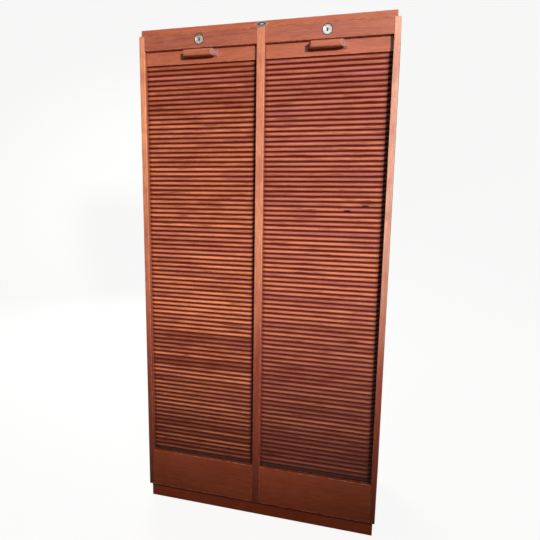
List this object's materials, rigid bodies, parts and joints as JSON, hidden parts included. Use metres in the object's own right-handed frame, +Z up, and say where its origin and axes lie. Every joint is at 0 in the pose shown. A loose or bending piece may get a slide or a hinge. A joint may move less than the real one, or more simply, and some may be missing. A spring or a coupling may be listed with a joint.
{
  "type": "tambour filing cabinet",
  "caption": "Tall oak filing cabinet with two roller shutters side by side, a lock and a grip on each, shelves inside and a low plinth.",
  "frame": {"origin": "centre of the floor area that the whole cabinet covers, handles included", "axes": "+Z up, the front with the shutters faces -Y, +X to the right as seen from the front"},
  "size_m": [1, 0.4396, 1.992],
  "materials": {
    "oak": "satin varnish over reddish stain",
    "dark_oak": "satin varnish over dark reddish stain",
    "slat_oak": "satin varnish over reddish stain",
    "handle_oak": "satin varnish, paler end grain",
    "plywood": "plain, unpolished",
    "beech": "plain turned",
    "nickel": "polished nickel plate, slightly worn",
    "steel": "dull zinc"
  },
  "bodies": {
    "cabinet": {"side_left": "oak", "side_right": "oak", "centre_partition": "oak", "top_board": "oak", "top_rail_left": "dark_oak", "top_rail_right": "dark_oak", "bottom_panel_left": "dark_oak", "bottom_panel_right": "dark_oak", "plinth_front": "dark_oak", "plinth_back": "dark_oak", "plinth_left": "dark_oak", "plinth_right": "dark_oak", "deck_left": "oak", "deck_right": "oak", "false_back_left": "plywood", "false_back_right": "plywood", "back_panel": "plywood", "left_shelf_1": "oak", "left_shelf_2": "oak", "left_shelf_3": "oak", "right_shelf_1": "oak", "right_shelf_2": "oak", "right_shelf_3": "oak", "shelf_pins": "steel", "back_screws": "steel", "carcass_dowels": "beech", "badge": "nickel", "lock_screws": "steel", "left_lock_ring": "nickel", "left_lock_case": "steel", "right_lock_ring": "nickel", "right_lock_case": "steel"},
    "left_shutter": {"left_shutter_rail": "oak", "left_handle": "handle_oak", "left_handle_screws": "steel", "left_strike": "steel", "left_lead_slats": "slat_oak"},
    "left_slats_1": {"left_slats_1": "slat_oak"},
    "left_slats_2": {"left_slats_2": "slat_oak"},
    "left_slats_3": {"left_slats_3": "slat_oak"},
    "left_slats_4": {"left_slats_4": "slat_oak"},
    "left_slats_5": {"left_slats_5": "slat_oak"},
    "left_slats_6": {"left_slats_6": "slat_oak"},
    "left_slats_7": {"left_slats_7": "slat_oak"},
    "left_lock_plug": {"left_lock_plug": "nickel"},
    "left_lock_bolt": {"left_lock_bolt": "steel"},
    "right_shutter": {"right_shutter_rail": "oak", "right_handle": "handle_oak", "right_handle_screws": "steel", "right_strike": "steel", "right_lead_slats": "slat_oak"},
    "right_slats_1": {"right_slats_1": "slat_oak"},
    "right_slats_2": {"right_slats_2": "slat_oak"},
    "right_slats_3": {"right_slats_3": "slat_oak"},
    "right_slats_4": {"right_slats_4": "slat_oak"},
    "right_slats_5": {"right_slats_5": "slat_oak"},
    "right_slats_6": {"right_slats_6": "slat_oak"},
    "right_slats_7": {"right_slats_7": "slat_oak"},
    "right_lock_plug": {"right_lock_plug": "nickel"},
    "right_lock_bolt": {"right_lock_bolt": "steel"}
  },
  "joints": [
    {"name": "left_shutter_slide", "type": "slide", "parent": "cabinet", "child": "left_shutter", "axis": [0, 0, -1], "range_m": [0, 1.621]},
    {"name": "left_slats_1_slide", "type": "slide", "parent": "cabinet", "child": "left_slats_1", "axis": [0, 0, -1], "range_m": [0, 1.4199], "deforming": ["left_slats_1"]},
    {"name": "left_slats_2_slide", "type": "slide", "parent": "cabinet", "child": "left_slats_2", "axis": [0, 0, -1], "range_m": [0, 1.2184], "deforming": ["left_slats_2"]},
    {"name": "left_slats_3_slide", "type": "slide", "parent": "cabinet", "child": "left_slats_3", "axis": [0, 0, -1], "range_m": [0, 0.9984], "deforming": ["left_slats_3"]},
    {"name": "left_slats_4_slide", "type": "slide", "parent": "cabinet", "child": "left_slats_4", "axis": [0, 0, -1], "range_m": [0, 0.7969], "deforming": ["left_slats_4"]},
    {"name": "left_slats_5_slide", "type": "slide", "parent": "cabinet", "child": "left_slats_5", "axis": [0, 0, -1], "range_m": [0, 0.5769], "deforming": ["left_slats_5"]},
    {"name": "left_slats_6_slide", "type": "slide", "parent": "cabinet", "child": "left_slats_6", "axis": [0, 0, -1], "range_m": [0, 0.3754], "deforming": ["left_slats_6"]},
    {"name": "left_slats_7_slide", "type": "slide", "parent": "cabinet", "child": "left_slats_7", "axis": [0, 0, -1], "range_m": [0, 0.1555], "deforming": ["left_slats_7"]},
    {"name": "left_lock_turn", "type": "hinge", "parent": "cabinet", "child": "left_lock_plug", "pos_m": [-0.2465, -0.19025, 1.946], "axis": [0, 1, 0], "range_deg": [0, 90]},
    {"name": "left_lock_bolt_slide", "type": "slide", "parent": "cabinet", "child": "left_lock_bolt", "axis": [0, 0, -1], "range_m": [0, 0.01]},
    {"name": "right_shutter_slide", "type": "slide", "parent": "cabinet", "child": "right_shutter", "axis": [0, 0, -1], "range_m": [0, 1.621]},
    {"name": "right_slats_1_slide", "type": "slide", "parent": "cabinet", "child": "right_slats_1", "axis": [0, 0, -1], "range_m": [0, 1.4199], "deforming": ["right_slats_1"]},
    {"name": "right_slats_2_slide", "type": "slide", "parent": "cabinet", "child": "right_slats_2", "axis": [0, 0, -1], "range_m": [0, 1.2184], "deforming": ["right_slats_2"]},
    {"name": "right_slats_3_slide", "type": "slide", "parent": "cabinet", "child": "right_slats_3", "axis": [0, 0, -1], "range_m": [0, 0.9984], "deforming": ["right_slats_3"]},
    {"name": "right_slats_4_slide", "type": "slide", "parent": "cabinet", "child": "right_slats_4", "axis": [0, 0, -1], "range_m": [0, 0.7969], "deforming": ["right_slats_4"]},
    {"name": "right_slats_5_slide", "type": "slide", "parent": "cabinet", "child": "right_slats_5", "axis": [0, 0, -1], "range_m": [0, 0.5769], "deforming": ["right_slats_5"]},
    {"name": "right_slats_6_slide", "type": "slide", "parent": "cabinet", "child": "right_slats_6", "axis": [0, 0, -1], "range_m": [0, 0.3754], "deforming": ["right_slats_6"]},
    {"name": "right_slats_7_slide", "type": "slide", "parent": "cabinet", "child": "right_slats_7", "axis": [0, 0, -1], "range_m": [0, 0.1555], "deforming": ["right_slats_7"]},
    {"name": "right_lock_turn", "type": "hinge", "parent": "cabinet", "child": "right_lock_plug", "pos_m": [0.2465, -0.19025, 1.946], "axis": [0, 1, 0], "range_deg": [0, 90]},
    {"name": "right_lock_bolt_slide", "type": "slide", "parent": "cabinet", "child": "right_lock_bolt", "axis": [0, 0, -1], "range_m": [0, 0.01]}
  ],
  "couplings": [
    {"joint": "left_slats_1_slide", "follows": "left_shutter_slide", "ratio": 0.87594},
    {"joint": "left_slats_2_slide", "follows": "left_shutter_slide", "ratio": 0.75158},
    {"joint": "left_slats_3_slide", "follows": "left_shutter_slide", "ratio": 0.61591},
    {"joint": "left_slats_4_slide", "follows": "left_shutter_slide", "ratio": 0.49155},
    {"joint": "left_slats_5_slide", "follows": "left_shutter_slide", "ratio": 0.35589},
    {"joint": "left_slats_6_slide", "follows": "left_shutter_slide", "ratio": 0.23153},
    {"joint": "left_slats_7_slide", "follows": "left_shutter_slide", "ratio": 0.09587},
    {"joint": "left_lock_bolt_slide", "follows": "left_lock_turn", "m_per_rad": 0.006366},
    {"joint": "right_slats_1_slide", "follows": "right_shutter_slide", "ratio": 0.87594},
    {"joint": "right_slats_2_slide", "follows": "right_shutter_slide", "ratio": 0.75158},
    {"joint": "right_slats_3_slide", "follows": "right_shutter_slide", "ratio": 0.61591},
    {"joint": "right_slats_4_slide", "follows": "right_shutter_slide", "ratio": 0.49155},
    {"joint": "right_slats_5_slide", "follows": "right_shutter_slide", "ratio": 0.35589},
    {"joint": "right_slats_6_slide", "follows": "right_shutter_slide", "ratio": 0.23153},
    {"joint": "right_slats_7_slide", "follows": "right_shutter_slide", "ratio": 0.09587},
    {"joint": "right_lock_bolt_slide", "follows": "right_lock_turn", "m_per_rad": 0.006366}
  ]
}
